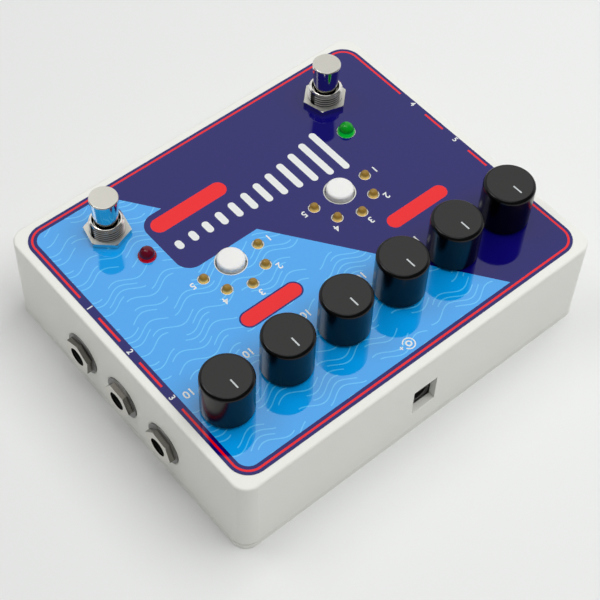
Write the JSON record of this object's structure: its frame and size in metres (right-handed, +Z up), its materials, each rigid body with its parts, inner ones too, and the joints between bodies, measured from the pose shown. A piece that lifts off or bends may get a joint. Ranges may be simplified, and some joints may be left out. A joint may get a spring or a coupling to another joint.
{
  "type": "delay pedal",
  "caption": "Stompbox delay effect pedal in a white cast case, with a row of black knobs, two footswitches, push buttons, lamps, plug jacks on both sides and a rear power inlet.",
  "frame": {"origin": "middle of the case's base, on the surface it stands on", "axes": "+Z up, +Y to the rear edge with the row of knobs, +X to the side with the input jack"},
  "size_m": [0.1492, 0.121, 0.053],
  "materials": {
    "white_case": "satin powder coat",
    "steel": "zinc plated",
    "label_print": "printed film",
    "board_green": "solder mask",
    "chip_black": "moulded",
    "capacitor_sleeve": "sleeve",
    "nickel": "nickel plated",
    "switch_blue": "moulded",
    "lead_red": "insulated wire",
    "lamp_red": "tinted lens",
    "lamp_green": "tinted lens",
    "lamp_amber": "tinted lens",
    "button_white": "satin",
    "knob_black": "moulded, matt top",
    "pot_metal": "plain",
    "socket_black": "moulded",
    "contact_brass": "plain"
  },
  "bodies": {
    "case": {"enclosure": "white_case", "bottom_lid": "white_case", "lid_screws": "steel", "face_label": "label_print", "main_board": "board_green", "board_chips": "chip_black", "board_capacitors": "capacitor_sleeve", "pot_nuts": "nickel", "pot_washers": "nickel", "bypass_switch_bushing": "nickel", "tap_switch_bushing": "nickel", "bypass_switch_can": "switch_blue", "tap_switch_can": "switch_blue", "bypass_spring": "steel", "tap_spring": "steel", "footswitch_nuts": "nickel", "footswitch_washers": "steel", "footswitch_lugs": "steel", "footswitch_leads": "lead_red", "status_led": "lamp_red", "beat_led": "lamp_green", "mode_leds": "lamp_amber", "divide_leds": "lamp_amber", "mode_tact_switch": "chip_black", "divide_tact_switch": "chip_black", "jack_nuts": "nickel", "jack_washers": "nickel", "jack_contacts": "contact_brass", "dc_socket": "socket_black", "dc_pin": "nickel", "delay_pot": "pot_metal", "feedback_pot": "pot_metal", "depth_pot": "pot_metal", "rate_pot": "pot_metal", "gain_pot": "pot_metal", "blend_pot": "pot_metal", "input_jack": "socket_black", "send_jack": "socket_black", "expression_jack": "socket_black", "output_jack": "socket_black", "return_jack": "socket_black", "tap_jack": "socket_black"},
    "delay_dial": {"delay_knob": "knob_black", "delay_pot_shaft": "pot_metal"},
    "feedback_dial": {"feedback_knob": "knob_black", "feedback_pot_shaft": "pot_metal"},
    "depth_dial": {"depth_knob": "knob_black", "depth_pot_shaft": "pot_metal"},
    "rate_dial": {"rate_knob": "knob_black", "rate_pot_shaft": "pot_metal"},
    "gain_dial": {"gain_knob": "knob_black", "gain_pot_shaft": "pot_metal"},
    "blend_dial": {"blend_knob": "knob_black", "blend_pot_shaft": "pot_metal"},
    "bypass_plunger": {"bypass_plunger": "nickel"},
    "tap_plunger": {"tap_plunger": "nickel"},
    "mode_button": {"mode_button": "button_white"},
    "divide_button": {"divide_button": "button_white"}
  },
  "joints": [
    {"name": "delay_turn", "type": "hinge", "parent": "case", "child": "delay_dial", "pos_m": [0.0566, 0.0338, 0.045], "axis": [0, 0, -1], "range_deg": [-150, 150]},
    {"name": "feedback_turn", "type": "hinge", "parent": "case", "child": "feedback_dial", "pos_m": [0.03396, 0.0338, 0.045], "axis": [0, 0, -1], "range_deg": [-150, 150]},
    {"name": "depth_turn", "type": "hinge", "parent": "case", "child": "depth_dial", "pos_m": [0.01132, 0.0338, 0.045], "axis": [0, 0, -1], "range_deg": [-150, 150]},
    {"name": "rate_turn", "type": "hinge", "parent": "case", "child": "rate_dial", "pos_m": [-0.01132, 0.0338, 0.045], "axis": [0, 0, -1], "range_deg": [-150, 150]},
    {"name": "gain_turn", "type": "hinge", "parent": "case", "child": "gain_dial", "pos_m": [-0.03396, 0.0338, 0.045], "axis": [0, 0, -1], "range_deg": [-150, 150]},
    {"name": "blend_turn", "type": "hinge", "parent": "case", "child": "blend_dial", "pos_m": [-0.0566, 0.0338, 0.045], "axis": [0, 0, -1], "range_deg": [-150, 150]},
    {"name": "bypass_press", "type": "slide", "parent": "case", "child": "bypass_plunger", "axis": [0, 0, -1], "range_m": [0, 0.0035], "stiffness_N_per_m": 4000, "deforming": ["bypass_spring"]},
    {"name": "tap_press", "type": "slide", "parent": "case", "child": "tap_plunger", "axis": [0, 0, -1], "range_m": [0, 0.0035], "stiffness_N_per_m": 4000, "deforming": ["tap_spring"]},
    {"name": "mode_press", "type": "slide", "parent": "case", "child": "mode_button", "axis": [0, 0, -1], "range_m": [0, 0.0005], "stiffness_N_per_m": 4000},
    {"name": "divide_press", "type": "slide", "parent": "case", "child": "divide_button", "axis": [0, 0, -1], "range_m": [0, 0.0005], "stiffness_N_per_m": 4000}
  ]
}
